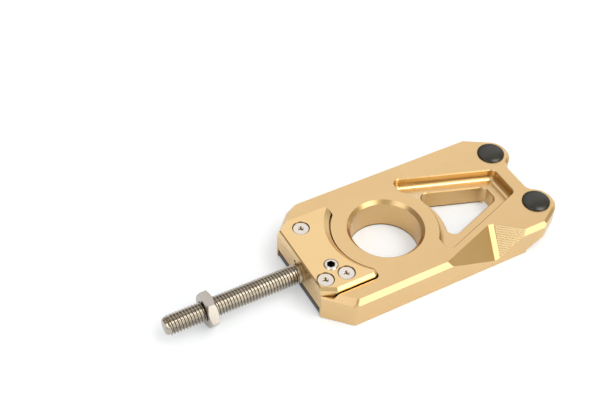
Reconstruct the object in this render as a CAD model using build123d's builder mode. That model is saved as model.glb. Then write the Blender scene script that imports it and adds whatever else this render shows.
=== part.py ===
from build123d import *

import os
from math import asin, atan2, cos, hypot, radians, sin, sqrt, tan

# Motorcycle chain adjuster: a billet axle block with a captive M8 spindle, cover plate, plugs and lock nut.
# Frame: origin on the axle-bore axis at the underside, X from the spindle to the lobes, Z up. Millimetres.
os.makedirs("parts", exist_ok=True)

# Axle block, milled from billet
BLOCK_H = 13.3          # underside to top face
HALF_W = 27.3           # centre line to a side wall
FRONT_X = -38.7         # end face that the spindle leaves
CORNER_X = 9.5          # cut front corner, along X
CORNER_Y = 9.6          # cut front corner, along Y
CORNER_R = 2.2          # cut corner rounded into the side wall
CORNER_IN = 2.1         # bevel over a cut corner, along the top
CORNER_DROP = 2.4       # the same bevel, down the wall
EDGE_IN = 1.45          # bevel on the near top edge, along the top
EDGE_DROP = 2.35        # the same bevel, down the wall

# Lobes at the rear end
LOBE_X = 61.2
LOBE_IN = 11.7          # side wall to a lobe's centre
LOBE_R = 8.0
LOBE_T = 8.1            # thickness of the lobes
LOBE_BEVEL = 1.2
SHOULDER = 3.8          # lobe centre back to where the side wall turns in
VALLEY = 2.2            # lobe centre on to the wall between the lobes
VALLEY_R = 3.6
STEP = 10.9             # lobe centre back to the step in the underside
STEP_H = 1.4
RAMP = 6.3              # length of the slope from that step up to the lobes

# Axle bore
AXLE_R = 14.0
AXLE_BEVEL = 1.4

# Triangular pocket and its window
BOSS_WALL = 7.3         # boss left round the bore
POCKET_DEPTH = 4.5
POCKET_RIM = 5.85       # near end of a long wall to the side wall
POCKET_MOUTH = 6.95     # straight near end, from a long wall to the boss
POCKET_TIP = 7.05       # half width of the pocket's far end
POCKET_END = 4.5        # far end of the pocket to the lobe centres
POCKET_R = 2.4
FLOOR_R = 2.1           # ball-nose fillet round the floor
EDGE_BREAK = 0.35
LEDGE = 5.0             # floor left between a long wall and the window
ARC_LEDGE = 3.7         # floor left between the boss and the window
END_LEDGE = 6.1         # floor left at the far end
WINDOW_R = 3.0

# Thumb notch on the near edge
NOTCH_X = 36.5          # deepest point on the top face
NOTCH_IN = 10.0         # deepest point to the side wall
NOTCH_FLAT = 2.2        # flat at the bottom of the notch, along X
NOTCH_SKEW = 0.55       # rise of that flat, along Y
NOTCH_LEFT = 19.0       # slope of the long flank in plan
NOTCH_RIGHT = 39.1      # slope of the short flank in plan
NOTCH_DIR = (-1.85, -9.75, -9.95)

# Cover plate and its seat
SEAT_DEPTH = 1.7
SEAT_RIM = 6.9          # seat to a side wall
SEAT_WALL = 7.6         # seat to the bore
SEAT_TIP = 4.8          # width of the seat's tips
SEAT_TIP_R = 1.9
PLATE_T = 4.15
PLATE_GAP = 0.45        # plate to seat along the sides
ARC_GAP = 0.75          # plate to seat along the arc and at the tips
PLATE_IN = 1.0          # bevel round the plate, along its top
PLATE_DROP = 1.2        # the same bevel, down its sides
ARC_IN = 2.1            # wider bevel along the arc, along the top
ARC_DROP = 1.8          # the same bevel, down the arc
FRONT_BEVEL = 0.45
PLATE_CUT_X = 5.5       # cut corner of the plate, along X
PLATE_CUT_Y = 3.2       # cut corner of the plate, along Y
PLATE_TIP_R = 1.6

# Plate fasteners, placed by the distance from the end face and the centre line
SCREW_SPOTS = ((8.05, 13.3), (12.45, -14.25), (3.85, -13.55))
SCREW_R = 1.5
SCREW_HEAD_R = 3.0
SCREW_LEN = 10.0
SCREW_KEY = 2.2         # across the flats of the socket
SCREW_KEY_DEPTH = 1.6
SCREW_SINK = 0.4        # head below the plate's top
SCREW_FIT = 0.05
SCREW_ROOM = 0.6        # hole left below a screw
SET_SPOT = (9.15, -8.25)
SET_R = 2.85
SET_RISE = 0.3          # top above the plate
SET_KEY = 3.0
SET_KEY_DEPTH = 2.6
SET_BEVEL = 0.45

# Spindle, and the keeper below the cover plate that holds its neck
SPINDLE_R = 3.95        # M8 thread crest
SPINDLE_OUT = 55.9      # end face to the free end
SPINDLE_TIP = 0.9
SPINDLE_ROOF = 0.3      # wall left between the spindle's hole and the plate's seat
SPINDLE_RUN = 0.05      # radial running clearance in the hole
NECK_R = 2.7
NECK_RUN = 0.1          # radial clearance of the neck in the keeper
KEEPER_IN = 4.5         # end face to the keeper
KEEPER_T = 3.6
KEEPER_HALF = 5.2
KEEPER_DROP = 2.5       # spindle's axis down to the keeper's foot
KEEPER_FIT = 0.1        # keeper to its slot in the block
HEAD_T = 3.8
END_PLAY = 0.3          # axial play of the neck and the head
PIN_R = 0.6             # pin hole beside the spindle, in the end face
PIN_WALL = 0.15         # pin hole to the spindle's hole
PIN_ANGLE = 48.0        # pin hole above the spindle's axis, seen from the end
PIN_DEPTH = 2.5

# Lock nut, thin M8
NUT_OUT = 38.3          # end face to the middle of the nut
NUT_FLATS = 13.0
NUT_T = 4.0
NUT_RUN = 0.05
NUT_FACE = 0.3          # chamfer circle inside the flats
NUT_CONE = 30.0

# Slide pad in the underside
PAD_WEB = 0.3           # wall left between the spindle's hole and the pad
PAD_HALF = 16.6
PAD_LEN = 19.7
PAD_FIT = 0.1
PAD_SINK = 0.3
PAD_SETBACK = 0.3
PAD_BEVEL = 0.5
FACE_FOOT = 1.25        # bevel at the foot of the end face

# Push-in end plugs
PLUG_HEAD_R = 5.65
PLUG_RISE = 1.5
PLUG_RIM = 0.35
PLUG_STEM_R = 4.0
PLUG_FIT = 0.05
PLUG_SHORT = 0.7        # stem's end to the underside of its lobe
PLUG_CROWN_R = 3.2      # flat middle of the head
PLUG_BEND_R = 4.9       # bend of its sloped edge
PLUG_BEND = 1.15        # height of that bend

# Levels and stations worked out from the sizes above
seat_z = BLOCK_H - SEAT_DEPTH
plate_top = seat_z + PLATE_T
screw_top = plate_top - SCREW_SINK
pocket_z = BLOCK_H - POCKET_DEPTH
lobe_z = BLOCK_H - LOBE_T
lobe_y = HALF_W - LOBE_IN
hole_r = SPINDLE_R + SPINDLE_RUN
spindle_z = seat_z - SPINDLE_ROOF - hole_r
pad_roof = spindle_z - hole_r - PAD_WEB
shoulder_x = LOBE_X - SHOULDER
valley_x = LOBE_X + VALLEY
boss_r = AXLE_R + BOSS_WALL
pocket_y = HALF_W - POCKET_RIM
pocket_x = sqrt(boss_r**2 - (pocket_y - POCKET_MOUTH) ** 2)
pocket_end = LOBE_X - POCKET_END
wall_slope = (pocket_y - POCKET_TIP) / (pocket_end - pocket_x)
seat_half = HALF_W - SEAT_RIM
seat_arc_r = AXLE_R + SEAT_WALL
seat_tip_x = -sqrt(seat_arc_r**2 - (seat_half - SEAT_TIP) ** 2)
keeper_x = FRONT_X + KEEPER_IN
head_x = keeper_x + KEEPER_T + END_PLAY
nut_x = FRONT_X - NUT_OUT
spindle_axis = Axis((0, 0, spindle_z), (1, 0, 0))
screw_spots = [(FRONT_X + x, y) for x, y in SCREW_SPOTS]
set_spot = (FRONT_X + SET_SPOT[0], SET_SPOT[1])
room = 2 * HALF_W       # depth that clears the block from any side
hung = (Align.CENTER, Align.CENTER, Align.MAX)     # a shape below its location
from_end = (Align.MIN, Align.CENTER)               # a rectangle that runs on from its location
upright = (Align.CENTER, Align.MIN)                # a rectangle that stands on its location

# Straight flank from a shoulder, tangent to its lobe
lobe_reach = hypot(SHOULDER, LOBE_IN)
lobe_angle = asin(LOBE_R / lobe_reach) - atan2(LOBE_IN, SHOULDER)
lobe_run = sqrt(lobe_reach**2 - LOBE_R**2)
lobe_touch = (shoulder_x + lobe_run * cos(lobe_angle), HALF_W + lobe_run * sin(lobe_angle))


def wall_y(x, inset=0.0):
    """Y of a long pocket wall at this x, moved in towards the centre line by the inset."""
    return pocket_y - (x - pocket_x) * wall_slope - inset * hypot(1, wall_slope)


def wedge(x0, x1, inset=0.0):
    """Corners of the tapered space between the long pocket walls, from x0 to x1."""
    far = [(x0, wall_y(x0, inset)), (x1, wall_y(x1, inset))]
    return far + [(x, -y) for x, y in reversed(far)]


# Axle block
with BuildPart() as axle_block:
    with BuildSketch() as plan:
        with BuildLine():
            Polyline(
                (FRONT_X, 0),
                (FRONT_X, HALF_W - CORNER_Y),
                (FRONT_X + CORNER_X, HALF_W),
                (shoulder_x, HALF_W),
                lobe_touch,
                (LOBE_X, lobe_y),
                (valley_x, lobe_y - LOBE_R + VALLEY / 2),
                (valley_x, 0),
                close=True,
            )
        make_face()
        with Locations((LOBE_X, lobe_y)):
            Circle(LOBE_R)
        mirror(about=Plane.XZ)
        fillet(plan.vertices().filter_by(lambda v: abs(v.X - valley_x) < 0.01), VALLEY_R)
    extrude(amount=BLOCK_H)

    # Underside stepped and sloped up to the lobes
    with BuildSketch(Plane.XZ):
        step_x = LOBE_X - STEP
        with BuildLine():
            Polyline(
                (step_x, -room),
                (step_x, STEP_H),
                (step_x + RAMP, lobe_z),
                (step_x + room, lobe_z),
                (step_x + room, -room),
                close=True,
            )
        make_face()
    extrude(amount=room, both=True, mode=Mode.SUBTRACT)

    # Bevels along the near top edge, over the cut corners and round the lobes
    top = axle_block.faces().sort_by(Axis.Z)[-1]
    chamfer(top.edges().filter_by(Axis.X).sort_by(Axis.Y)[0], EDGE_IN, EDGE_DROP, reference=top)
    top = axle_block.faces().sort_by(Axis.Z)[-1]
    cut_edges = top.edges().filter_by(lambda e: FRONT_X + 0.1 < e.center().X < FRONT_X + CORNER_X)
    chamfer(cut_edges, CORNER_IN, CORNER_DROP, reference=top)
    rim = axle_block.faces().sort_by(Axis.Z)[-1].edges()
    chamfer(rim.filter_by(lambda e: e.center().X > shoulder_x), LOBE_BEVEL)

    # Cut corners rounded into the side walls
    for side_y in (HALF_W, -HALF_W):
        corner = Vector(FRONT_X + CORNER_X, side_y)
        near_corner = lambda e: (Vector(e.center().X, e.center().Y) - corner).length < CORNER_IN
        fillet(axle_block.edges().filter_by(near_corner), CORNER_R)

    # Thumb notch, cut along a slope
    with BuildSketch(Plane.XY.offset(BLOCK_H)):
        near_y = -2 * HALF_W
        left_y = NOTCH_IN - HALF_W
        right_y = left_y - NOTCH_SKEW
        with BuildLine():
            Polyline(
                (NOTCH_X, left_y),
                (NOTCH_X - (left_y - near_y) / tan(radians(NOTCH_LEFT)), near_y),
                (NOTCH_X + NOTCH_FLAT + (right_y - near_y) / tan(radians(NOTCH_RIGHT)), near_y),
                (NOTCH_X + NOTCH_FLAT, right_y),
                close=True,
            )
        make_face()
    extrude(amount=room, dir=NOTCH_DIR, both=True, mode=Mode.SUBTRACT)

    # Triangular pocket round the boss
    with BuildSketch(Plane.XY.offset(pocket_z)) as pocket:
        Polygon(*wedge(pocket_x, pocket_end), align=None)
        Circle(boss_r, mode=Mode.SUBTRACT)
        fillet(pocket.vertices(), POCKET_R)
    extrude(amount=BLOCK_H, mode=Mode.SUBTRACT)
    pocket_rim = axle_block.faces().filter_by(Axis.Z).sort_by(Axis.Z)[-1].inner_wires()[0].edges()
    chamfer(pocket_rim, EDGE_BREAK)
    floor = axle_block.faces().filter_by(Axis.Z).filter_by(lambda f: abs(f.center().Z - pocket_z) < 0.01)
    fillet(floor.edges(), FLOOR_R)

    # Window through the pocket floor
    with BuildSketch() as window:
        Polygon(*wedge(pocket_x, pocket_end - END_LEDGE, LEDGE), align=None)
        Circle(boss_r + ARC_LEDGE, mode=Mode.SUBTRACT)
        fillet(window.vertices(), WINDOW_R)
    extrude(amount=BLOCK_H, mode=Mode.SUBTRACT)
    floor = axle_block.faces().filter_by(Axis.Z).filter_by(lambda f: abs(f.center().Z - pocket_z) < 0.01)
    chamfer(floor[0].inner_wires()[0].edges(), EDGE_BREAK)

    # Axle bore
    Hole(AXLE_R)
    rounds = axle_block.edges().filter_by(GeomType.CIRCLE)
    bore_rim = rounds.filter_by(lambda e: abs(e.radius - AXLE_R) < 0.01)
    chamfer(bore_rim.sort_by(Axis.Z)[-1], AXLE_BEVEL)

    # Seat of the cover plate, open to the end face
    with BuildSketch(Plane.XY.offset(seat_z)) as seat:
        with Locations((seat_tip_x, 0)):
            Rectangle(room, 2 * seat_half, align=(Align.MAX, Align.CENTER))
        Circle(seat_arc_r, mode=Mode.SUBTRACT)
        fillet(seat.vertices().group_by(Axis.X)[-1], SEAT_TIP_R)
    extrude(amount=BLOCK_H, mode=Mode.SUBTRACT)

    # Hole of the spindle, and the slot that the keeper drops into
    with BuildSketch(Plane.YZ.offset(FRONT_X)):
        with Locations((0, spindle_z)):
            Circle(hole_r)
    extrude(amount=head_x + HEAD_T + END_PLAY - FRONT_X, mode=Mode.SUBTRACT)
    with BuildSketch(Plane.XY.offset(seat_z)):
        with Locations((keeper_x - KEEPER_FIT, 0)):
            Rectangle(KEEPER_T + 2 * KEEPER_FIT, 2 * (KEEPER_HALF + KEEPER_FIT), align=from_end)
    extrude(amount=spindle_z - KEEPER_DROP - KEEPER_FIT - seat_z, mode=Mode.SUBTRACT)

    # Pin hole beside the spindle
    pin_out = hole_r + PIN_WALL + PIN_R
    pin_y = pin_out * cos(radians(PIN_ANGLE))
    pin_z = spindle_z + pin_out * sin(radians(PIN_ANGLE))
    with BuildSketch(Plane.YZ.offset(FRONT_X)):
        with Locations((pin_y, pin_z)):
            Circle(PIN_R)
    extrude(amount=PIN_DEPTH, mode=Mode.SUBTRACT)

    # Recess for the slide pad, with the foot of the end face bevelled back
    with BuildSketch(Plane.XZ):
        with BuildLine():
            Polyline(
                (FRONT_X - PAD_LEN, -BLOCK_H),
                (FRONT_X - PAD_LEN, pad_roof + FACE_FOOT + PAD_LEN),
                (FRONT_X + FACE_FOOT, pad_roof),
                (FRONT_X + PAD_LEN, pad_roof),
                (FRONT_X + PAD_LEN, -BLOCK_H),
                close=True,
            )
        make_face()
    extrude(amount=PAD_HALF, both=True, mode=Mode.SUBTRACT)

    # Holes for the plate screws and the end plugs
    with Locations(*[(x, y, seat_z) for x, y in screw_spots]):
        Hole(SCREW_R + SCREW_FIT, depth=SCREW_LEN - PLATE_T + SCREW_ROOM)
    with Locations((LOBE_X, lobe_y, BLOCK_H), (LOBE_X, -lobe_y, BLOCK_H)):
        Hole(PLUG_STEM_R)
axle_block.part.label = "axle_block"
export_step(axle_block.part, "parts/axle_block.step")

# Cover plate
with BuildPart() as cover_plate:
    plate_half = seat_half - PLATE_GAP
    arc_r = seat_arc_r + ARC_GAP
    tip_x = seat_tip_x - ARC_GAP
    with BuildSketch(Plane.XY.offset(seat_z)) as cover:
        with BuildLine():
            Polyline(
                (FRONT_X, 0),
                (FRONT_X, plate_half - PLATE_CUT_Y),
                (FRONT_X + PLATE_CUT_X, plate_half),
                (tip_x, plate_half),
                (tip_x, 0),
                close=True,
            )
        make_face()
        mirror(about=Plane.XZ)
        Circle(arc_r, mode=Mode.SUBTRACT)
        fillet(cover.vertices().group_by(Axis.X)[-1], PLATE_TIP_R)
    extrude(amount=PLATE_T)
    top = cover_plate.faces().sort_by(Axis.Z)[-1]
    rim = top.edges().filter_by(lambda e: e.center().X > FRONT_X + 0.1)
    chamfer(rim, PLATE_IN, PLATE_DROP, reference=top)
    with Locations((0, 0, plate_top)):
        Cone(arc_r, arc_r + ARC_IN, ARC_DROP, align=hung, mode=Mode.SUBTRACT)
    front_edges = cover_plate.faces().sort_by(Axis.X)[0].edges()
    chamfer(front_edges.sort_by(Axis.Z)[-1], FRONT_BEVEL)
    with Locations(*[(x, y, plate_top) for x, y in screw_spots]):
        CounterSinkHole(SCREW_R + SCREW_FIT, SCREW_HEAD_R + SCREW_SINK + SCREW_FIT, counter_sink_angle=90)
    with Locations((*set_spot, plate_top)):
        Hole(SET_R)

    # Keeper, a fork that straddles the spindle's neck
    with BuildSketch(Plane.YZ.offset(keeper_x)):
        with Locations((0, spindle_z - KEEPER_DROP)):
            Rectangle(2 * KEEPER_HALF, seat_z - spindle_z + KEEPER_DROP, align=upright)
            Rectangle(2 * (NECK_R + NECK_RUN), KEEPER_DROP, align=upright, mode=Mode.SUBTRACT)
        with Locations((0, spindle_z)):
            Circle(NECK_R + NECK_RUN, mode=Mode.SUBTRACT)
    extrude(amount=KEEPER_T)
cover_plate.part.label = "cover_plate"
export_step(cover_plate.part, "parts/cover_plate.step")

# Countersunk screws of the cover plate
with BuildPart() as plate_screws:
    with Locations(*[(x, y, screw_top) for x, y in screw_spots]):
        Cylinder(SCREW_R, SCREW_LEN, align=hung)
        Cone(SCREW_R, SCREW_HEAD_R, SCREW_HEAD_R - SCREW_R, align=hung)
    with BuildSketch(Plane.XY.offset(screw_top)):
        with Locations(*screw_spots):
            RegularPolygon(SCREW_KEY / 2, 6, major_radius=False)
    extrude(amount=-SCREW_KEY_DEPTH, mode=Mode.SUBTRACT)
plate_screws.part.label = "plate_screws"
export_step(plate_screws.part, "parts/plate_screws.step")

# Set screw in the cover plate
with BuildPart() as set_screw:
    with Locations((*set_spot, seat_z)):
        Cylinder(SET_R - SCREW_FIT, PLATE_T + SET_RISE, align=(Align.CENTER, Align.CENTER, Align.MIN))
    chamfer(set_screw.edges().filter_by(GeomType.CIRCLE), SET_BEVEL)
    with BuildSketch(Plane.XY.offset(plate_top + SET_RISE)):
        with Locations(set_spot):
            RegularPolygon(SET_KEY / 2, 6, major_radius=False)
    extrude(amount=-SET_KEY_DEPTH, mode=Mode.SUBTRACT)
set_screw.part.label = "set_screw"
export_step(set_screw.part, "parts/set_screw.step")

# Spindle: threaded rod, neck and head, turned in one piece
with BuildPart() as spindle:
    end_x = FRONT_X - SPINDLE_OUT
    with BuildSketch(Plane.XZ):
        with BuildLine():
            Polyline(
                (end_x, spindle_z),
                (end_x, spindle_z + SPINDLE_R - SPINDLE_TIP),
                (end_x + SPINDLE_TIP, spindle_z + SPINDLE_R),
                (keeper_x - END_PLAY, spindle_z + SPINDLE_R),
                (keeper_x - END_PLAY, spindle_z + NECK_R),
                (head_x, spindle_z + NECK_R),
                (head_x, spindle_z + SPINDLE_R),
                (head_x + HEAD_T, spindle_z + SPINDLE_R),
                (head_x + HEAD_T, spindle_z),
                close=True,
            )
        make_face()
    revolve(axis=spindle_axis)
spindle.part.label = "spindle"
export_step(spindle.part, "parts/spindle.step")

# Lock nut, a hexagon with both ends chamfered
with BuildPart() as lock_nut:
    with BuildSketch(Plane.YZ.offset(nut_x - NUT_T / 2)):
        with Locations((0, spindle_z)):
            RegularPolygon(NUT_FLATS / 2, 6, major_radius=False)
            Circle(SPINDLE_R + NUT_RUN, mode=Mode.SUBTRACT)
    extrude(amount=NUT_T)
    nut_corner = NUT_FLATS / sqrt(3)
    face_r = NUT_FLATS / 2 - NUT_FACE
    drop = (nut_corner - face_r) * tan(radians(NUT_CONE))
    with BuildSketch(Plane.XZ):
        with BuildLine():
            Polyline(
                (nut_x - NUT_T / 2, spindle_z),
                (nut_x - NUT_T / 2, spindle_z + face_r),
                (nut_x - NUT_T / 2 + drop, spindle_z + nut_corner),
                (nut_x + NUT_T / 2 - drop, spindle_z + nut_corner),
                (nut_x + NUT_T / 2, spindle_z + face_r),
                (nut_x + NUT_T / 2, spindle_z),
                close=True,
            )
        make_face()
    revolve(axis=spindle_axis, mode=Mode.INTERSECT)
lock_nut.part.label = "lock_nut"
export_step(lock_nut.part, "parts/lock_nut.step")

# Slide pad let into the underside
with BuildPart() as slide_pad:
    with BuildSketch(Plane.XY.offset(PAD_SINK)):
        with Locations((FRONT_X + PAD_SETBACK, 0)):
            Rectangle(PAD_LEN - PAD_SETBACK - PAD_FIT, 2 * (PAD_HALF - PAD_FIT), align=from_end)
    extrude(amount=pad_roof - PAD_SINK)
    chamfer(slide_pad.faces().sort_by(Axis.X)[0].edges().sort_by(Axis.Z)[-1], PAD_BEVEL)
slide_pad.part.label = "slide_pad"
export_step(slide_pad.part, "parts/slide_pad.step")

# Domed plugs pushed into the two lobes
for node, plug_y in (("far_plug", lobe_y), ("near_plug", -lobe_y)):
    with BuildPart() as plug:
        with BuildSketch(Plane.XZ.offset(-plug_y)):
            stem_x = LOBE_X + PLUG_STEM_R - PLUG_FIT
            rim_x = LOBE_X + PLUG_HEAD_R
            crown_z = BLOCK_H + PLUG_RISE
            with BuildLine():
                Polyline(
                    (LOBE_X, crown_z),
                    (LOBE_X, lobe_z + PLUG_SHORT),
                    (stem_x, lobe_z + PLUG_SHORT),
                    (stem_x, BLOCK_H),
                    (rim_x, BLOCK_H),
                    (rim_x, BLOCK_H + PLUG_RIM),
                    (LOBE_X + PLUG_BEND_R, BLOCK_H + PLUG_BEND),
                    (LOBE_X + PLUG_CROWN_R, crown_z),
                    close=True,
                )
            make_face()
        revolve(axis=Axis((LOBE_X, plug_y, 0), (0, 0, 1)))
    plug.part.label = node
    export_step(plug.part, "parts/" + node + ".step")
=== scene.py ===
import math

import bmesh
import bpy
import numpy as np
from mathutils import Matrix, Vector


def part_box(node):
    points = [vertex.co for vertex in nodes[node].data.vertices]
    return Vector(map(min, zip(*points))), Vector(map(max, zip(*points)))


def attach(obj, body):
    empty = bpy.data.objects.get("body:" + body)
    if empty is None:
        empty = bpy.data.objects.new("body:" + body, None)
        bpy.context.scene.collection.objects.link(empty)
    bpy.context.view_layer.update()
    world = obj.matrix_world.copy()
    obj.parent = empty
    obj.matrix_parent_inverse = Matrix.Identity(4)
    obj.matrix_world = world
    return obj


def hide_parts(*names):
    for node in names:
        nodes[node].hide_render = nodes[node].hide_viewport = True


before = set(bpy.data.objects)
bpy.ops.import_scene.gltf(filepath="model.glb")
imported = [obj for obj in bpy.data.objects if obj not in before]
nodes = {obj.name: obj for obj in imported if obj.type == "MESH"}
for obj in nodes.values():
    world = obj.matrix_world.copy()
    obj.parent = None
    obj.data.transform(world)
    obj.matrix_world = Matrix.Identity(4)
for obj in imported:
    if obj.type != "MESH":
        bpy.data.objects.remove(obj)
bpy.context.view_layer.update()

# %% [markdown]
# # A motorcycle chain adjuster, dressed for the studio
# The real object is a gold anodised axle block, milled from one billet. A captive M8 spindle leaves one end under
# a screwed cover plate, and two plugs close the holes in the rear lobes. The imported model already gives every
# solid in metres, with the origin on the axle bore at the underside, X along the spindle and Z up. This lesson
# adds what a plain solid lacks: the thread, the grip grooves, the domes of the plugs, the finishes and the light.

MM = 0.001
print("nodes:", ", ".join(sorted(nodes)))

# %% [markdown]
# ## The camera
# A photograph gives three angles and a place. The angles come from the directions of the long edges, the place
# from the size of the bore. A matrix built from the camera's own axes keeps the small roll, which a tracking
# constraint would lose.

# %% Camera
AZIMUTH, ELEVATION, ROLL = (math.radians(v) for v in (-29.99, 46.18, 1.87))
CAMERA_PLACE = Vector((-0.174254, -0.234141, 0.328898))
SENSOR = 36.0
FOCAL = 65.774          # millimetres on that sensor

outward = Vector((math.sin(AZIMUTH), -math.cos(AZIMUTH), 0))
back = outward * math.cos(ELEVATION) + Vector((0, 0, math.sin(ELEVATION)))
level = Vector((math.cos(AZIMUTH), math.sin(AZIMUTH), 0))
upright = back.cross(level)
right = math.cos(ROLL) * level + math.sin(ROLL) * upright
up = math.cos(ROLL) * upright - math.sin(ROLL) * level

camera = bpy.data.objects.new("camera", bpy.data.cameras.new("camera"))
bpy.context.collection.objects.link(camera)
camera.data.sensor_width = SENSOR
camera.data.lens = FOCAL
camera.matrix_world = Matrix.Translation(CAMERA_PLACE) @ Matrix((right, up, back)).transposed().to_4x4()
bpy.context.scene.camera = camera
bpy.context.scene.view_settings.view_transform = "Standard"
print("camera looks down at", round(math.degrees(ELEVATION), 1), "degrees")

# %% [markdown]
# ## The lamps
# Metal shows the room around it, so the room comes first. Four soft boxes light it. A tall one on the near right,
# from low down to overhead, turns the near bevels white. A small bright one overhead puts highlights on the plugs
# and in the pocket's fillet. A wide, weak one behind the object fills the flat top, and the last, on the left,
# lights the cut corners. A soft box is set by the brightness of its face, because that is what a mirror shows, and
# its power follows from its area.

# %% Lamps
SOFT_BOXES = (          # name, direction, distance, width, height, brightness
    ("near_bank", (0.32, -0.74, 0.55), 2.0, 1.1, 2.9, 2.0),
    ("overhead", (0.34, -0.20, 0.90), 2.0, 1.0, 0.9, 3.2),
    ("top_bank", (0.32, 0.62, 0.72), 2.4, 2.6, 2.2, 0.20),
    ("left_fill", (-0.72, -0.26, 0.64), 2.2, 1.2, 1.2, 0.75),
)


def soft_box(name, direction, distance, width, height, brightness):
    """An area lamp facing the object; its power is brightness times pi times the area of its face."""
    lamp = bpy.data.lights.new(name, "AREA")
    lamp.shape = "RECTANGLE"
    lamp.size, lamp.size_y = width, height
    lamp.energy = brightness * math.pi * width * height
    box = bpy.data.objects.new(name, lamp)
    toward = Vector(direction).normalized()
    facing = toward.to_track_quat("Z", "Y").to_matrix().to_4x4()
    box.matrix_world = Matrix.Translation(toward * distance) @ facing
    bpy.context.collection.objects.link(box)
    print(name, round(lamp.energy, 1), "watts")


for row in SOFT_BOXES:
    soft_box(*row)

# %% [markdown]
# ## The surround
# Between the lamps, gold mirrors the walls of the room. A picture of a room could stand there, but a colour that
# depends on one direction is enough: pale on the sides, dimmer and warmer towards the bright side, and dark
# opposite. The dark end draws the lines along the upper side of the spindle.

# %% Surround
BRIGHT_SIDE = (0.45, -0.55, 0.70)
SURROUND = (            # share of the bright side, and the tone there
    (0.00, (0.36, 0.31, 0.24)),
    (0.08, (0.56, 0.53, 0.48)),
    (0.20, (0.86, 0.85, 0.84)),
    (0.45, (0.88, 0.87, 0.86)),
    (0.60, (0.50, 0.47, 0.40)),
    (0.90, (0.50, 0.43, 0.24)),
)

world = bpy.data.worlds.new("surround")
bpy.context.scene.world = world
world.use_nodes = True
sky = world.node_tree
look = sky.nodes.new("ShaderNodeTexCoord")
side = sky.nodes.new("ShaderNodeVectorMath")
side.operation = "DOT_PRODUCT"
side.inputs[1].default_value = BRIGHT_SIDE
fall = sky.nodes.new("ShaderNodeValToRGB")
for _ in SURROUND[2:]:
    fall.color_ramp.elements.new(0.5)
for element, (share, tone) in zip(fall.color_ramp.elements, SURROUND):
    element.position = share
    element.color = (*tone, 1.0)
sky.links.new(look.outputs["Generated"], side.inputs[0])
sky.links.new(side.outputs["Value"], fall.inputs["Fac"])
sky.links.new(fall.outputs["Color"], sky.nodes["Background"].inputs["Color"])
print("surround:", len(SURROUND), "tones")

# %% [markdown]
# ## Helpers for finishes
# Every finish is a small node tree on Object coordinates, which here are metres in the frame. One helper makes a
# node and sets its constants straight on the sockets, another starts a material. Nodes could also be placed by
# hand in the editor, but a script shows every number.


# %% Node helpers
def add(tree, kind, operation=None, constants=()):
    """A new shader node, with its operation and pairs of socket and constant."""
    made = tree.nodes.new("ShaderNode" + kind)
    if operation:
        made.operation = operation
    for socket, value in constants:
        made.inputs[socket].default_value = value
    return made


def finish(name, metallic):
    """A material with one Principled shader; returns the material, its tree and the shader."""
    material = bpy.data.materials.new(name)
    material.use_nodes = True
    shader = material.node_tree.nodes["Principled BSDF"]
    shader.inputs["Metallic"].default_value = metallic
    return material, material.node_tree, shader


print("node helpers: add, finish")

# %% [markdown]
# A noise gives clouds, a ramp turns any number into two colours or two grey values, and a bump tilts the light on
# a fine grain. A tiled picture could do the same, but noise has no seams and no size of its own.


# %% Clouds, tones and grain
def clouds(tree, scale, detail=3.0, stretch=(1, 1, 1)):
    """Noise on Object coordinates, with its cells per metre as the scale."""
    place = add(tree, "TexCoord")
    mapping = add(tree, "Mapping", constants=[("Scale", stretch)])
    noise = add(tree, "TexNoise", constants=[("Scale", scale), ("Detail", detail)])
    tree.links.new(place.outputs["Object"], mapping.inputs["Vector"])
    tree.links.new(mapping.outputs["Vector"], noise.inputs["Vector"])
    return noise.outputs["Fac"]


def two_tone(tree, fac, low, high, target, ends=(0.3, 0.7)):
    """Colours or grey values blended by a factor between two ends, and linked to the target socket."""
    ramp = add(tree, "ValToRGB")
    for element, place, tone in zip(ramp.color_ramp.elements, ends, (low, high)):
        element.position = place
        element.color = (*tone, 1.0) if isinstance(tone, tuple) else (tone, tone, tone, 1.0)
    tree.links.new(fac, ramp.inputs["Fac"])
    tree.links.new(ramp.outputs["Color"], target)


def grain(tree, shader, fac, strength, depth):
    """Bump of the given depth in metres."""
    bump = add(tree, "Bump", constants=[("Strength", strength), ("Distance", depth)])
    tree.links.new(fac, bump.inputs["Height"])
    tree.links.new(bump.outputs["Normal"], shader.inputs["Normal"])


print("pattern helpers: clouds, two_tone, grain")

# %% [markdown]
# ## Painted shade in corners and rings
# Shade is painted into the colour where walls stand close together, and as dark rings round the heads of the
# screws and at the lower rims of the openings. It could be painted on the mesh as a picture, but a rule needs no
# painting. The Ambient Occlusion node says how much sky a point sees, and simple tests on its place say whether it
# lies in a ring or on the pocket's floor, where light is painted. Each rule lays one more tone over the colour so
# far.


# %% Tones laid over a colour
def lay_over(tree, shader):
    """A blend put in front of the shader's colour; returns its factor, its two colours and the one now covered."""
    blend = add(tree, "Mix")
    blend.data_type = "RGBA"
    so_far = shader.inputs["Base Color"].links[0].from_socket
    tree.links.new(blend.outputs[2], shader.inputs["Base Color"])
    return blend.inputs[0], blend.inputs[6], blend.inputs[7], so_far


def painted_crevice_shade(tree, shader, reach, dark, ends, alone=False):
    """Painted shade: where walls within reach shut out the sky, the colour falls to the dark tone; alone means own
    walls.
    """
    shut = add(tree, "AmbientOcclusion", constants=[("Distance", reach)])
    shut.only_local = alone
    fac, low, high, so_far = lay_over(tree, shader)
    low.default_value = (*dark, 1.0)
    tree.links.new(so_far, high)
    two_tone(tree, shut.outputs["AO"], 0.0, 1.0, fac, ends)


def together(tree, operation, one, two):
    """A Math node on two sockets; returns its result."""
    made = add(tree, "Math", operation)
    tree.links.new(one, made.inputs[0])
    tree.links.new(two, made.inputs[1])
    return made.outputs[0]


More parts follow.
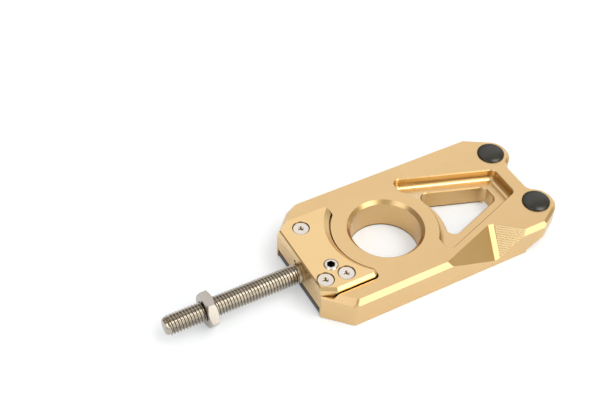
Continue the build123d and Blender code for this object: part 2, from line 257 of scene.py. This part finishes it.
def in_layer(tree, height, layer):
    """1 where the height lies between the layer's two heights, else 0."""
    lowest, highest = layer
    test = add(tree, "Math", "COMPARE", [(1, (lowest + highest) / 2), (2, (highest - lowest) / 2)])
    tree.links.new(height, test.inputs[0])
    return test.outputs[0]


print("tone helpers: lay_over, crevices, together, in_layer")

# %% [markdown]
# Light is painted on the pocket's floor. Its tone lifts the floor out of the painted shade of the pocket, to the
# gold of the top, and paints it paler still beside the far wall. Its faces could get a material of their own, but
# a rule leaves the solid's mesh alone: the floor is found as the flat points in one thin layer.

# %% Painted light on the pocket floor
POCKET_FLOOR = (8.6 * MM, 9.2 * MM)
NEAR_SIDE, FAR_SIDE = 2 * MM, 12 * MM       # along Y, from the near tone to the far one
UPWARD = 0.85           # a normal that climbs more than this is flat


def painted_floor_light(tree, shader, layer, near_tone, far_tone):
    """Painted light: flat points of a layer take a tone that changes across the block."""
    place, parts = add(tree, "TexCoord"), add(tree, "SeparateXYZ")
    surface, slope = add(tree, "NewGeometry"), add(tree, "SeparateXYZ")
    flat = add(tree, "Math", "GREATER_THAN", [(1, UPWARD)])
    across = add(tree, "MapRange", constants=[("From Min", NEAR_SIDE), ("From Max", FAR_SIDE)])
    tree.links.new(place.outputs["Object"], parts.inputs[0])
    tree.links.new(surface.outputs["Normal"], slope.inputs[0])
    tree.links.new(slope.outputs["Z"], flat.inputs[0])
    tree.links.new(parts.outputs["Y"], across.inputs["Value"])
    fac, low, high, so_far = lay_over(tree, shader)
    tree.links.new(so_far, low)
    two_tone(tree, across.outputs["Result"], near_tone, far_tone, high, (0.0, 1.0))
    here = in_layer(tree, parts.outputs["Z"], layer)
    tree.links.new(together(tree, "MULTIPLY", here, flat.outputs[0]), fac)


print("pocket floor between", POCKET_FLOOR, "metres")

# %% [markdown]
# A ring of painted shade lies round a screw or under a rim. It could be a picture on a UV map, but that map would
# have to be made first. Here it is found as the points of a layer that lie nearer than some radius to an upright
# axis.


# %% Rings of painted shade
def painted_shade_rings(material, spots, radius, layer, dark):
    """Painted shade: points of a layer that lie nearer than the radius to one of the upright axes take the dark
    tone.
    """
    tree = material.node_tree
    shader = tree.nodes["Principled BSDF"]
    place, parts = add(tree, "TexCoord"), add(tree, "SeparateXYZ")
    tree.links.new(place.outputs["Object"], parts.inputs[0])
    inside = None
    for x, y in spots:
        plan = add(tree, "Mapping", constants=[("Location", (-x * MM, -y * MM, 0)), ("Scale", (1, 1, 0))])
        length = add(tree, "VectorMath", "LENGTH")
        near = add(tree, "Math", "LESS_THAN", [(1, radius)])
        tree.links.new(place.outputs["Object"], plan.inputs["Vector"])
        tree.links.new(plan.outputs["Vector"], length.inputs[0])
        tree.links.new(length.outputs["Value"], near.inputs[0])
        inside = together(tree, "MAXIMUM", inside, near.outputs[0]) if inside else near.outputs[0]
    fac, low, high, so_far = lay_over(tree, shader)
    tree.links.new(so_far, low)
    high.default_value = (*dark, 1.0)
    here = in_layer(tree, parts.outputs["Z"], layer)
    tree.links.new(together(tree, "MULTIPLY", here, inside), fac)


print("place helpers: painted_floor_light, painted_shade_rings")

# %% [markdown]
# ## Gold
# Anodised aluminium is a metal whose reflection is tinted by the dye, slightly clouded by the blasting before it.
# A clear coat over a yellow base could stand in, but it would add a second, white reflection that the real finish
# hardly shows. Block and plate share one recipe, with painted shade in narrow gaps. The block has two more tones:
# painted shade in its deep pocket and openings, and painted light on the pocket's floor.

# %% Gold
# Painted shade: in narrow gaps, and in the pocket and openings
GOLD_GAP_SHADE = (0.13, 0.065, 0.02)
GOLD_RECESS_SHADE = (0.56, 0.34, 0.115)
GOLD_GAP = 1.5 * MM     # reach of the painted shade in narrow gaps
RECESS_SHADE_REACH = 25 * MM   # reach of the painted shade in the pocket and the openings
RECESS_SHADE_ENDS = (0.25, 1.0)
GOLD_SPREAD = 0.015     # of the roughness, to either side
GOLD_CLOUDS, GOLD_SHEEN, GOLD_GRAIN = 90, 60, 900       # cells per metre
GOLD_BUMP = 0.05
FINE_DEPTH = 0.01 * MM
# Painted light on the pocket's floor, from the near side to the far side
NEAR_FLOOR_PAINTED_LIGHT, FAR_FLOOR_PAINTED_LIGHT = (0.79, 0.555, 0.29), (0.81, 0.635, 0.385)


def anodised(name, pale, deep, roughness, ends, recess_shade=None):
    """Blasted and dyed aluminium: a gold reflection with a faint cloud in its colour and its roughness, and
    painted shade in narrow gaps; with a pocket tone, also painted shade in the pocket and openings and painted
    light on the pocket's floor.
    """
    material, tree, shader = finish(name, metallic=1.0)
    two_tone(tree, clouds(tree, GOLD_CLOUDS), deep, pale, shader.inputs["Base Color"])
    if recess_shade:
        painted_crevice_shade(tree, shader, RECESS_SHADE_REACH, recess_shade, RECESS_SHADE_ENDS, alone=True)
        painted_floor_light(tree, shader, POCKET_FLOOR, NEAR_FLOOR_PAINTED_LIGHT, FAR_FLOOR_PAINTED_LIGHT)
    painted_crevice_shade(tree, shader, GOLD_GAP, GOLD_GAP_SHADE, ends)
    smooth, rough = roughness - GOLD_SPREAD, roughness + GOLD_SPREAD
    two_tone(tree, clouds(tree, GOLD_SHEEN, 0.0), smooth, rough, shader.inputs["Roughness"])
    grain(tree, shader, clouds(tree, GOLD_GRAIN, 1.0), GOLD_BUMP, FINE_DEPTH)
    return material


block_gold = anodised(
    "block_gold", (0.805, 0.564, 0.290), (0.785, 0.547, 0.279), 0.28, ends=(0.25, 0.55), recess_shade=GOLD_RECESS_SHADE)
plate_gold = anodised("plate_gold", (0.90, 0.645, 0.330), (0.880, 0.628, 0.318), 0.26, ends=(0.55, 0.85))
print("gold on the block:", len(block_gold.node_tree.nodes), "nodes")

# %% [markdown]
# Shade is painted as dark rings round the heads of the three screws, in the plate's countersinks, and along the
# lower rims of the bore and of the window. Thin dark rings of mesh could be laid there, but they would stand proud
# of the gold. The rule for rings only changes its colour.

# %% Painted shade rings
# Painted shade in rings round the screw heads and along the lower rims of the openings
SCREW_AXES = ((-30.65, 13.3), (-26.25, -14.25), (-34.85, -13.55))
SCREW_RING = 3.6 * MM
SCREW_LAYER = (13 * MM, 15.72 * MM)
SCREW_PAINTED_SHADE = (0.20, 0.12, 0.045)
OPENING_AXES = ((0, 0), (34, 1))        # middle of the bore and of the window
OPENING_RING = 16 * MM
RIM_LAYER = (0.05 * MM, 0.6 * MM)
RIM_PAINTED_SHADE = (0.20, 0.115, 0.04)

painted_shade_rings(plate_gold, SCREW_AXES, SCREW_RING, SCREW_LAYER, SCREW_PAINTED_SHADE)
painted_shade_rings(block_gold, OPENING_AXES, OPENING_RING, RIM_LAYER, RIM_PAINTED_SHADE)
print("shade_rings:", len(SCREW_AXES), "screws and", len(OPENING_AXES), "openings")

# %% [markdown]
# ## Steel and plastic
# Screws, nut and spindle are stainless steel, turned on a lathe, which leaves fine rings. An anisotropic shader
# could stretch the highlights across them, but it needs a direction set up for every piece. A bump from noise,
# squeezed along the spindle's axis, needs none. The plugs and the slide pad are black plastic, the plugs with more
# shine.

# %% Steel and plastic
# Painted shade between close walls of the steel
STEEL_GAP_SHADE = (0.05, 0.045, 0.035)
SPREAD = 0.03           # of the roughness, to either side
STEEL_CLOUDS, STEEL_SHEEN, STEEL_GRAIN = 160, 120, 800          # cells per metre
STEEL_BUMP = 0.10
LATHE = (9, 1, 1)       # squeeze along the axis
PLASTIC_CLOUDS, PLASTIC_SHEEN, PLASTIC_GRAIN = 220, 200, 3500
PLASTIC_BUMP = 0.15
MOULD_DEPTH = 0.02 * MM
PLASTIC_IOR = 1.55


def turned_steel(name, pale, deep, roughness, reach, ends=(0.25, 0.60)):
    """Stainless steel with fine rings left by the lathe, and painted shade between close walls."""
    material, tree, shader = finish(name, metallic=1.0)
    two_tone(tree, clouds(tree, STEEL_CLOUDS), deep, pale, shader.inputs["Base Color"])
    painted_crevice_shade(tree, shader, reach, STEEL_GAP_SHADE, ends)
    smooth, rough = roughness - SPREAD, roughness + SPREAD
    two_tone(tree, clouds(tree, STEEL_SHEEN, 0.0), smooth, rough, shader.inputs["Roughness"])
    grain(tree, shader, clouds(tree, STEEL_GRAIN, 2.0, LATHE), STEEL_BUMP, FINE_DEPTH)
    return material


def moulded_plastic(name, pale, deep, roughness):
    """Satin black plastic with a soft moulded grain."""
    material, tree, shader = finish(name, metallic=0.0)
    two_tone(tree, clouds(tree, PLASTIC_CLOUDS), deep, pale, shader.inputs["Base Color"])
    smooth, rough = roughness - SPREAD, roughness + SPREAD
    two_tone(tree, clouds(tree, PLASTIC_SHEEN, 1.0), smooth, rough, shader.inputs["Roughness"])
    grain(tree, shader, clouds(tree, PLASTIC_GRAIN, 2.0), PLASTIC_BUMP, MOULD_DEPTH)
    shader.inputs["IOR"].default_value = PLASTIC_IOR
    return material


spindle_steel = turned_steel(
    "spindle_steel", (0.545, 0.495, 0.425), (0.49, 0.44, 0.375), 0.20, 0.8 * MM, (0.30, 0.85))
screw_steel = turned_steel(
    "screw_steel", (0.82, 0.76, 0.69), (0.76, 0.70, 0.63), 0.24, 0.7 * MM, (0.50, 0.90))
set_steel = turned_steel("set_steel", (0.82, 0.76, 0.70), (0.76, 0.70, 0.64), 0.24, 5.0 * MM)
nut_steel = turned_steel("nut_steel", (0.53, 0.490, 0.445), (0.49, 0.450, 0.410), 0.24, 0.8 * MM)
plug_black = moulded_plastic("plug_black", (0.021, 0.020, 0.015), (0.015, 0.014, 0.010), 0.24)
pad_black = moulded_plastic("pad_black", (0.095, 0.088, 0.080), (0.072, 0.067, 0.060), 0.45)
print("finishes so far:", len(bpy.data.materials))

# %% [markdown]
# ## Finishes on the solids
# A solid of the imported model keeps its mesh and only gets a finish, through its material slots. The spindle and
# the plugs are missing in the list, because new surfaces stand in for them further down.

# %% Solids
NODE_FINISH = {
    "axle_block": block_gold,
    "cover_plate": plate_gold,
    "plate_screws": screw_steel,
    "set_screw": set_steel,
    "lock_nut": nut_steel,
    "slide_pad": pad_black,
}
for node, material in NODE_FINISH.items():
    for slot in nodes[node].material_slots:
        slot.material = material
print("finished solids:", len(NODE_FINISH))

# %% [markdown]
# ## The floor
# The object lies on a pale sheet that runs out of sight. More light would bleach the gold as well, so the floor
# gets its white from its own colour, and a little glow that only the camera and, in part, mirrors can see. The
# shadow stays, because it is a shadow of the lamps.

# %% Floor
FLOOR_HALF = 30.0
FLOOR_Z = -0.2 * MM     # just under the object
FLOOR_LIFT = 0.36       # glow where the camera sees the floor
MIRROR_LIFT = 0.66      # share of it that a mirror shows
FLOOR_CLOUDS = 3        # cells per metre
FLOOR_ROUGHNESS, FLOOR_SHINE = 0.9, 0.1
FLOOR_GLOW = (0.90, 0.95, 1.0, 1.0)
FLOOR_PALE, FLOOR_DEEP = (0.75, 0.78, 0.83), (0.74, 0.77, 0.82)

floor_mesh = bpy.data.meshes.new("floor")
corners = np.array([(-1, -1, 0), (1, -1, 0), (1, 1, 0), (-1, 1, 0)]) * FLOOR_HALF + (0, 0, FLOOR_Z)
floor_mesh.from_pydata(corners, [], [(0, 1, 2, 3)])
floor = bpy.data.objects.new("floor", floor_mesh)
bpy.context.collection.objects.link(floor)

pale_floor, floor_tree, floor_shader = finish("pale_floor", metallic=0.0)
two_tone(floor_tree, clouds(floor_tree, FLOOR_CLOUDS), FLOOR_DEEP, FLOOR_PALE, floor_shader.inputs["Base Color"])
floor_shader.inputs["Roughness"].default_value = FLOOR_ROUGHNESS
floor_shader.inputs["Specular IOR Level"].default_value = FLOOR_SHINE
floor_shader.inputs["Emission Color"].default_value = FLOOR_GLOW
seen = add(floor_tree, "LightPath")
glow = add(floor_tree, "Math", "MULTIPLY_ADD", [(1, MIRROR_LIFT)])
lift = add(floor_tree, "Math", "MULTIPLY", [(1, FLOOR_LIFT)])
floor_tree.links.new(seen.outputs["Is Glossy Ray"], glow.inputs[0])
floor_tree.links.new(seen.outputs["Is Camera Ray"], glow.inputs[2])
floor_tree.links.new(glow.outputs["Value"], lift.inputs[0])
floor_tree.links.new(lift.outputs["Value"], floor_shader.inputs["Emission Strength"])
floor_mesh.materials.append(pale_floor)
print("floor:", 2 * FLOOR_HALF, "metres wide")

# %% [markdown]
# ## Surfaces from arrays
# Each new piece is a grid of points worked out in one go. The helper puts such a grid into a mesh, merges the rows
# and columns that meet at a seam or a pole, turns the faces outwards, and keeps edges sharp above an angle.

# %% Grid to mesh
MERGE = 0.0002 * MM     # points nearer than this become one


def grid_piece(name, points, material, body, sharp=math.radians(25)):
    """Mesh of a grid of points, rows by columns by three, as quads between neighbouring rows and columns."""
    rows, columns = points.shape[:2]
    index = np.arange(rows * columns).reshape(rows, columns)
    quads = np.stack([index[:-1, :-1], index[:-1, 1:], index[1:, 1:], index[1:, :-1]], axis=-1).reshape(-1, 4)
    mesh = bpy.data.meshes.new(name)
    mesh.from_pydata(points.reshape(-1, 3), [], quads)
    shell = bmesh.new()
    shell.from_mesh(mesh)
    bmesh.ops.remove_doubles(shell, verts=shell.verts, dist=MERGE)
    bmesh.ops.recalc_face_normals(shell, faces=shell.faces)
    shell.to_mesh(mesh)
    shell.free()
    mesh.shade_smooth()
    mesh.set_sharp_from_angle(angle=sharp)
    mesh.materials.append(material)
    piece = bpy.data.objects.new(name, mesh)
    bpy.context.collection.objects.link(piece)
    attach(piece, body)
    print(name, len(mesh.polygons), "faces")
    return piece


def turned(profile, columns, centre, axis_first):
    """A profile of (along, radius) pairs carried round an axis; rows follow the profile, columns the turn."""
    turn = np.linspace(0, 2 * np.pi, columns + 1)
    along, radius = (profile[:, k][:, None] for k in (0, 1))
    one, two = radius * np.cos(turn), radius * np.sin(turn)
    straight = along + 0 * turn
    return np.stack([straight, one, two] if axis_first else [one, two, straight], axis=-1) + np.array(centre)


print("mesh helpers: grid_piece, turned")

# %% [markdown]
# ## The spindle's thread
# The thread is the most striking detail of the real spindle. A screw surface can be cut by a boolean, or drawn by
# a Screw modifier, but both leave loose ends. Here the grid itself is wound: a row is one point of the thread's
# profile, and it climbs by one pitch a turn, so the end of a row meets the start of the row one turn later. The
# profile has flat crests, flat roots and sloped flanks. Rows that would pass either end are held there, where the
# merge folds them away.

# %% Thread
PITCH = 1.25 * MM
THREAD_DEPTH = 0.541 * PITCH    # as on a metric bolt
TIP_LENGTH = 1.5 * MM           # cone at the free end
TIP_R = 2.9 * MM
SHANK = 0.9 * MM                # plain run before the end face
RUN_OUT = 0.8 * MM              # length over which the roots rise to it
THREAD_COLUMNS = 64
SPARE_TURNS = 2                 # past either end

rod_low, rod_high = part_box("spindle")
rod_r = (rod_high.z - rod_low.z) / 2
rod_z = (rod_high.z + rod_low.z) / 2
face_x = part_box("axle_block")[0].x
thread_end = face_x - SHANK
root_r = rod_r - THREAD_DEPTH

# Corners of the profile in shares of the pitch: crest, flank, root, flank
fractions = np.array([0.0, 0.125, 0.4375, 0.6875])
corner_r = np.array([rod_r, rod_r, root_r, root_r])
turns = np.arange(math.floor(rod_low.x / PITCH) - SPARE_TURNS, math.ceil(thread_end / PITCH) + SPARE_TURNS)
wound = (turns[:, None] + fractions).reshape(-1, 1)
row_r = np.tile(corner_r, len(turns)).reshape(-1, 1)
turn = np.linspace(0, 2 * np.pi, THREAD_COLUMNS + 1)
climb = np.clip(PITCH * (wound + turn / (2 * np.pi)), rod_low.x, thread_end)
cone = TIP_R + (climb - rod_low.x) * (rod_r - TIP_R) / TIP_LENGTH
shank = rod_r + (climb - thread_end) * (rod_r - root_r) / RUN_OUT
radius = np.minimum(cone, np.maximum(row_r, np.minimum(shank, rod_r)))
thread = np.stack([climb, radius * np.cos(turn), radius * np.sin(turn) + rod_z], axis=-1)
print("thread:", len(turns), "turns, root radius", round(root_r / MM, 2), "mm")

# %% [markdown]
# Behind the end face the rod is plain, with the neck that keeps it in the block. A turned profile joins the last
# row of the thread, and a single point closes the tip, so that the rod is one shell.

# %% Rod
NECK_R = 2.7 * MM
NECK_FROM, NECK_TO = -34.5 * MM, -30.3 * MM

shank_profile = np.array([
    (face_x, rod_r),
    (NECK_FROM, rod_r),
    (NECK_FROM, NECK_R),
    (NECK_TO, NECK_R),
    (NECK_TO, rod_r),
    (rod_high.x, rod_r),
    (rod_high.x, 0),
])
plain = turned(shank_profile, THREAD_COLUMNS, (0, 0, rod_z), axis_first=True)
tip = turned(np.array([(rod_low.x, 0)]), THREAD_COLUMNS, (0, 0, rod_z), axis_first=True)
spindle = grid_piece("spindle_rod", np.concatenate([tip, thread, plain]), spindle_steel, "spindle")
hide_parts("spindle")

# %% [markdown]
# ## The flank of the thumb notch
# The short flank of the notch is a flat patch with one slanted side. One direction runs along its top edge, the
# other down the slope, and their cross product is the normal. Fine parallel ridges cross it for the finger. A
# vector whose product with a point counts the ridges down to it serves the paint later.

# %% Flank
NOTCH_TOP = np.array((38.7, -17.85, 13.3)) * MM         # upper end of the flank
NOTCH_TURN = math.radians(39.1)
NOTCH_DOWN = np.array((-1.85, -9.75, -9.95)) / 9.75     # down the slope, for one step towards the near wall
WALL_Y = -27.3 * MM     # near wall
RIDGES = 14

along = np.array((math.cos(NOTCH_TURN), -math.sin(NOTCH_TURN), 0))
normal = np.cross(NOTCH_DOWN, along)
normal *= np.sign(normal[2]) / np.linalg.norm(normal)
run = NOTCH_TOP[1] - WALL_Y     # steps from the top of the flank to the near wall
count = NOTCH_DOWN - NOTCH_DOWN.dot(along) * along
count *= RIDGES / (NOTCH_DOWN.dot(count) * run)
print("flank normal:", normal.round(3))

# %% [markdown]
# ## Painted light on the ridges
# Each ridge gets a pale stripe of painted highlight and a deep stripe of painted shade. A Wave texture could draw
# such stripes, but it would have to be turned and scaled by hand until it met the ridges. A ping-pong of the count
# gives each ridge one pale and one deep stripe, in step with its shape.

# %% Painted light on the ridges
RIDGE_FALL = 0.68       # share of a ridge that falls gently, before it rises to the next
# Painted highlight and painted shade of the ridge stripes
RIDGE_PAINTED_HIGHLIGHT, RIDGE_PAINTED_SHADE = (1.0, 0.77, 0.44), (0.80, 0.56, 0.275)
RIDGE_ROUGHNESS = 0.22
HALF_RIDGE = 0.5        # where the ping-pong turns back
STRIPE_ENDS = (0.1, 0.5)

ridge_painted_gold, ridge_tree, ridge_shader = finish("ridge_painted_gold", metallic=1.0)
ridge_shader.inputs["Roughness"].default_value = RIDGE_ROUGHNESS
place = add(ridge_tree, "TexCoord")
stripe = add(ridge_tree, "VectorMath", "DOT_PRODUCT", [(1, count)])
start = add(ridge_tree, "Math", "SUBTRACT", [(1, NOTCH_TOP.dot(count) + RIDGE_FALL / 2)])
cycle = add(ridge_tree, "Math", "PINGPONG", [(1, HALF_RIDGE)])
ridge_tree.links.new(place.outputs["Object"], stripe.inputs[0])
ridge_tree.links.new(stripe.outputs["Value"], start.inputs[0])
ridge_tree.links.new(start.outputs[0], cycle.inputs[0])
two_tone(ridge_tree, cycle.outputs[0], RIDGE_PAINTED_HIGHLIGHT, RIDGE_PAINTED_SHADE, ridge_shader.inputs["Base Color"], STRIPE_ENDS)
print("ridge paint:", RIDGES, "stripes")

# %% [markdown]
# ## Grip grooves
# The grooves could be a bump in the gold, but then the mesh would be flat from the side. A grid of two parameters
# covers the flank: one runs down the slope, the other across, as far as the near wall or the bevel above it. A
# saw-tooth of the first lifts the grid in ridges, and a second layer just under the flank closes it to a thin
# slab.

# %% Grooves
BEVEL_Y = -25.85 * MM   # upper edge of the bevel over the near wall
BEVEL_DROP = 2.35 * MM
RIDGE_H = 0.18 * MM
RIDGE_FOOT = 0.15       # of that height, under every ridge
UNDER = -0.05 * MM      # underside of the patch, below the flank
RIDGE_ROWS, PATCH_COLUMNS = 12, 41
RIDGE_SHARP = math.radians(20)

down = np.linspace(0, 1, RIDGES * RIDGE_ROWS + 1)[:, None] * run
to_wall = (run - down) / math.sin(NOTCH_TURN)
bevel_start = (NOTCH_TOP[1] - BEVEL_Y) / math.sin(NOTCH_TURN)
bevel_foot = BEVEL_DROP / -NOTCH_DOWN[2]
bevel_end = (run - bevel_foot) / math.sin(NOTCH_TURN)
reach = np.minimum(to_wall, bevel_start + (bevel_end - bevel_start) * down / bevel_foot)
across = np.linspace(0, 1, PATCH_COLUMNS)[None, :] * reach
phase = RIDGES * down / down[-1] % 1
tooth = np.where(phase < RIDGE_FALL, 1 - phase / RIDGE_FALL, (phase - RIDGE_FALL) / (1 - RIDGE_FALL))
rise = RIDGE_H * (RIDGE_FOOT + tooth) + 0 * across
rise[[0, -1], :] = rise[:, [0, -1]] = UNDER

flank = NOTCH_TOP + along * across[..., None] + NOTCH_DOWN * down[..., None]
ridged = flank + normal * rise[..., None]
buried = flank + normal * UNDER
patch = np.concatenate([ridged, buried[::-1]])
patch[..., 1] = np.maximum(patch[..., 1], WALL_Y)
grooves = grid_piece("grip_grooves", patch, ridge_painted_gold, "block", sharp=RIDGE_SHARP)

# %% [markdown]
# ## Domed plugs
# A plug is a turned shape: a low dome that is nearly flat in the middle and falls quickly at its rim, a short
# edge, and a stem in the hole. A slice of a sphere could be the dome, but it bends evenly and would spread the
# highlight. A power of the radius gives the real dome in one line, and the profile is carried round.

# %% Plugs
DOME_RIM = 0.35 * MM
DOME_POWER = 0.6
DOME_ROWS = 33
STEM_R = 3.95 * MM
PLUG_COLUMNS = 96
PLUG_SHARP = math.radians(50)

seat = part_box("axle_block")[1].z
share = np.linspace(0, 1, DOME_ROWS)
for node in ("far_plug", "near_plug"):
    low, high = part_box(node)
    head_r = (high.x - low.x) / 2
    dome_z = seat + DOME_RIM + (high.z - seat - DOME_RIM) * (1 - share**2) ** DOME_POWER
    dome = np.stack([dome_z, head_r * share], axis=-1)
    stem = np.array([(seat, head_r), (seat, STEM_R), (low.z, STEM_R), (low.z, 0)])
    centre = ((low.x + high.x) / 2, (low.y + high.y) / 2, 0)
    grid = turned(np.concatenate([dome, stem]), PLUG_COLUMNS, centre, axis_first=False)
    plug = grid_piece(node + "_cap", grid, plug_black, "block", sharp=PLUG_SHARP)
    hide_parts(node)
